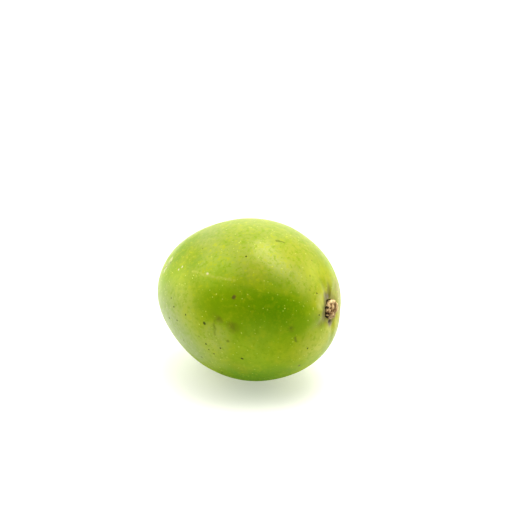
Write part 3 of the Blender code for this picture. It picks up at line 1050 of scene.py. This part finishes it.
# Painted highlight: a pale band along the lit ridge beside the stub.
lit_ridge = line_gap(tree, soft_place, (-4.5, 15.5), (-5.9, 10.0), 0.0021)
colour = paint(tree, fade(tree, lit_ridge, 0.2, 1.0, strength=0.6), colour, RIDGE_HIGHLIGHT)
print("nodes with the basin:", len(tree.nodes))

# %% Crease, hollows and seat, partly painted shade
CREASE_SHADE_OLIVE = (0.170, 0.165, 0.035)
HOLLOW_SHADE_GREY = (0.230, 0.190, 0.165)
PIT_SHADE_PURPLE = (0.060, 0.040, 0.040)
SEAT_SHADE_BROWN = (0.050, 0.032, 0.014)
SHADED_HOLLOWS = [(6.1, 12.6, 0.0011), (4.6, -4.6, 0.0018)]
# Crease, grey hollows, pit and pocket are painted dark: partly their own colour, partly painted shade.
colour = paint(tree, ramp(tree, noted(tree, "crease"), 0.1, 0.8, high=0.75), colour, CREASE_SHADE_OLIVE)
hollow_gap = nearest(tree, spot_gaps(tree, speck_place, SHADED_HOLLOWS))
hollow_shade = fade(tree, hollow_gap, 0.3, 1.1, strength=0.85)
colour = paint(tree, hollow_shade, colour, HOLLOW_SHADE_GREY)
colour = paint(tree, ramp(tree, noted(tree, "pit"), 0.30, 0.75, high=0.9), colour, PIT_SHADE_PURPLE)
colour = paint(tree, ramp(tree, noted(tree, "pocket"), 0.25, 0.85), colour, SEAT_SHADE_BROWN)
wire(tree, skin_shader.inputs["Base Color"], colour)
print("nodes in the green skin:", len(tree.nodes))

# %% [markdown]
# ## Gloss and grain
#
# The skin has a natural wax, so its gloss is soft, and its reflection is tinted a faint yellow.
# Roughness wavers a little, because wax wears off in patches. Corky marks and the ring round the stub
# are dull, and so is the skin low down, where the fruit lay and was rubbed. Bump adds the fine grain
# that is too small for the mesh.

# %% Gloss of the skin
WAX_TINT = (1.0, 1.0, 0.20, 1.0)
SKIN_IOR = 1.44
rough_cloud = ramp(tree, patches(tree, place, 0.0045, detail=3.0), 0.3, 0.7, low=0.31, high=0.39)
dull = sums(tree, "MAXIMUM", graze_share, sums(tree, "MAXIMUM", dark_share, ring))
roughness = sums(tree, "ADD", rough_cloud, sums(tree, "MULTIPLY", dull, 0.30))
rubbed = fade(tree, above, 0.004, 0.014)
roughness = sums(tree, "ADD", roughness, sums(tree, "MULTIPLY", rubbed, 0.45))
wire(tree, skin_shader.inputs["Roughness"], roughness)
skin_shader.inputs["IOR"].default_value = SKIN_IOR
skin_shader.inputs["Specular Tint"].default_value = WAX_TINT
skin_shader.inputs["Sheen Weight"].default_value = 0.03
skin_shader.inputs["Sheen Roughness"].default_value = 0.35
print("nodes with the gloss:", len(tree.nodes))

# %% Grain of the skin
GRAIN_HEIGHT = 0.00006
grain = patches(tree, place, 0.00055)
soft_grain = patches(tree, place, 0.0023)
height = sums(tree, "MULTIPLY", grain, 0.35)
height = sums(tree, "ADD", height, soft_grain)
height = sums(tree, "SUBTRACT", height, sums(tree, "MULTIPLY", pore, 0.35))
height = sums(tree, "SUBTRACT", height, sums(tree, "MULTIPLY", dark_share, 0.8))
bump = add(tree, "Bump", Strength=1.0, Distance=GRAIN_HEIGHT, Height=height)
wire(tree, skin_shader.inputs["Normal"], bump.outputs[0])
print("nodes with the grain of the skin:", len(tree.nodes))

# %% [markdown]
# ## The stub's wood
#
# Dead wood fibre is pale where it was torn last and dark where rain and dirt sit in it. So the colour
# follows the height that we noted on each point, with noise on top; the dark in the hollows is partly
# painted shade and the cream on the lips partly painted highlight. The lower side is greyer and darker,
# partly weathering and partly painted shade, and the clefts and the foot are painted near black as
# painted shade. An ambient occlusion node could look for the hollows as well, but it is slow, and here
# the heights are already known.

# %% Finish of the stub
WOOD_DARK_AND_SHADE = (0.020, 0.010, 0.004)
WOOD_BROWN = (0.220, 0.125, 0.050)
WOOD_GREY_AND_SHADE = (0.300, 0.235, 0.145)
WOOD_TAN = (0.640, 0.480, 0.275)
WOOD_CREAM_AND_HIGHLIGHT = (0.920, 0.750, 0.440)
stub_finish, tree, stub_shader = finish_named("dry stalk wood")
stub.data.materials.append(stub_finish)
place = add(tree, "TexCoord").outputs["Object"]
wood_grain = sums(tree, "SUBTRACT", patches(tree, place, 0.0005, detail=3.0), 0.5)
wood_height = sums(tree, "ADD", noted(tree, "height"), sums(tree, "MULTIPLY", wood_grain, 0.5))
# Dark hollows are partly dirt and partly painted shade; cream lips are partly fresh fibre and partly
# painted highlight.
wood = paint(tree, ramp(tree, wood_height, -0.55, -0.20), WOOD_DARK_AND_SHADE, WOOD_BROWN)
wood = paint(tree, ramp(tree, wood_height, -0.32, 0.02), wood, WOOD_TAN)
wood = paint(tree, ramp(tree, wood_height, 0.02, 0.34), wood, WOOD_CREAM_AND_HIGHLIGHT)
# The lower side is painted greyer and darker: partly weathering, partly painted shade.
weathered_and_shaded = sums(tree, "ADD", noted(tree, "low_side"), wood_grain)
wood = paint(tree, ramp(tree, weathered_and_shaded, 0.15, 0.60, high=0.45), wood, WOOD_GREY_AND_SHADE)
# Clefts and the foot next to the seat are painted near black: painted shade.
wood = paint(tree, ramp(tree, noted(tree, "cleft"), 0.25, 0.85, high=0.85), wood, WOOD_DARK_AND_SHADE)
wood_foot = sums(tree, "ADD", noted(tree, "above_seat"), wood_grain)
wood = paint(tree, fade(tree, wood_foot, 0.6, 1.05, strength=0.85), wood, WOOD_DARK_AND_SHADE)
wire(tree, stub_shader.inputs["Base Color"], wood)
stub_shader.inputs["Roughness"].default_value = 0.8
stub_shader.inputs["Specular IOR Level"].default_value = 0.3
print("nodes in the wood:", len(tree.nodes))

# %% Grain of the wood
WOOD_GRAIN_HEIGHT = 0.00006
drawn_out = vectors(tree, "MULTIPLY", place, (0.4, 1.0, 1.0))
fibre = patches(tree, drawn_out, 0.00018, detail=3.0, roughness=0.6)
bump = add(tree, "Bump", Strength=0.8, Distance=WOOD_GRAIN_HEIGHT, Height=fibre)
wire(tree, stub_shader.inputs["Normal"], bump.outputs[0])
print("nodes with the grain of the wood:", len(tree.nodes))

# %% [markdown]
# ## Table and light
#
# The fruit lies on a plain white table in a light tent. The table glows faintly, as a light table does,
# so it stays white and keeps only a soft shadow. Overhead are two bright soft boxes, one of them leaning
# to the right. Lower down are soft boxes on the right and on the left, and behind is a wide, dim wall.
# The side towards the camera is dark, and that is what gives the skin its deep green band between the
# bright top and the light that the table throws back. Lamp objects could do this too, but painting the
# boxes on the sky as soft round patches keeps every edge soft and needs no lamp near the fruit.

# %% White table
FLOOR_SIZE = 8.0
TABLE_WHITE = (0.60, 0.60, 0.58, 1.0)
TABLE_GLOW = (1.0, 1.0, 0.97, 1.0)
TABLE_GLOW_STRENGTH = 0.32
floor_shape = bmesh.new()
bmesh.ops.create_grid(floor_shape, x_segments=1, y_segments=1, size=FLOOR_SIZE / 2.0)
floor_mesh = bpy.data.meshes.new("table")
floor_shape.to_mesh(floor_mesh)
floor_shape.free()
table_finish, tree, table_shader = finish_named("white table")
table_shader.inputs["Base Color"].default_value = TABLE_WHITE
table_shader.inputs["Emission Color"].default_value = TABLE_GLOW
table_shader.inputs["Emission Strength"].default_value = TABLE_GLOW_STRENGTH
table_shader.inputs["Roughness"].default_value = 0.6
floor_mesh.materials.append(table_finish)
floor = bpy.data.objects.new("table", floor_mesh)
bpy.context.scene.collection.objects.link(floor)
print("table", FLOOR_SIZE, "m wide")

# %% [markdown]
# Each soft box has a turn and a rise, the angle from its middle at which its glow has fallen to half,
# and a strength. The room adds a little even light. Beyond the table the camera sees plain white and not
# the boxes, which only light the fruit and show in its gloss. The view's high contrast look deepens the
# greens and whitens the gloss, as a picture for a shop does.

# %% Soft boxes of the light tent
SOFT_BOXES = {
    "top": (80.0, 81.0, 14.0, 4.9),
    "top, leaning right": (42.0, 67.0, 14.0, 2.7),
    "left": (206.0, 49.0, 20.0, 2.4),
    "back wall": (121.0, 34.0, 32.0, 1.3),
    "right": (49.0, 27.0, 14.0, 4.4),
    "left, low": (201.0, 3.0, 17.0, 3.0),
}
ROOM = 0.03
WARMTH = 0.95
world = bpy.data.worlds.new("light tent")
bpy.context.scene.world = world
world.use_nodes = True
tree = world.node_tree
background = tree.nodes["Background"]
sky_way = add(tree, "TexCoord").outputs["Generated"]
glow = ROOM
for turn_of_box, rise_of_box, width, strength in SOFT_BOXES.values():
    facing = vectors(tree, "DOT_PRODUCT", sky_way, heading(turn_of_box, rise_of_box))
    fall = math.log(2.0) / (1.0 - math.cos(math.radians(width)))
    part = sums(tree, "EXPONENT", sums(tree, "MULTIPLY", sums(tree, "SUBTRACT", facing, 1.0), fall), 0.0)
    glow = sums(tree, "ADD", sums(tree, "MULTIPLY", part, strength), glow)
seen = add(tree, "LightPath").outputs["Is Camera Ray"]
unseen = sums(tree, "SUBTRACT", 1.0, seen)
glow = sums(tree, "ADD", seen, sums(tree, "MULTIPLY", glow, unseen))
tint = add(tree, "CombineColor", Red=glow, Green=glow, Blue=sums(tree, "MULTIPLY", glow, WARMTH))
wire(tree, background.inputs["Color"], tint.outputs[0])
print("soft boxes:", "; ".join(SOFT_BOXES))

# %% Contrast of the picture
view = bpy.context.scene.view_settings
view.view_transform = "Standard"
view.look = "High Contrast"
print("look:", view.look)
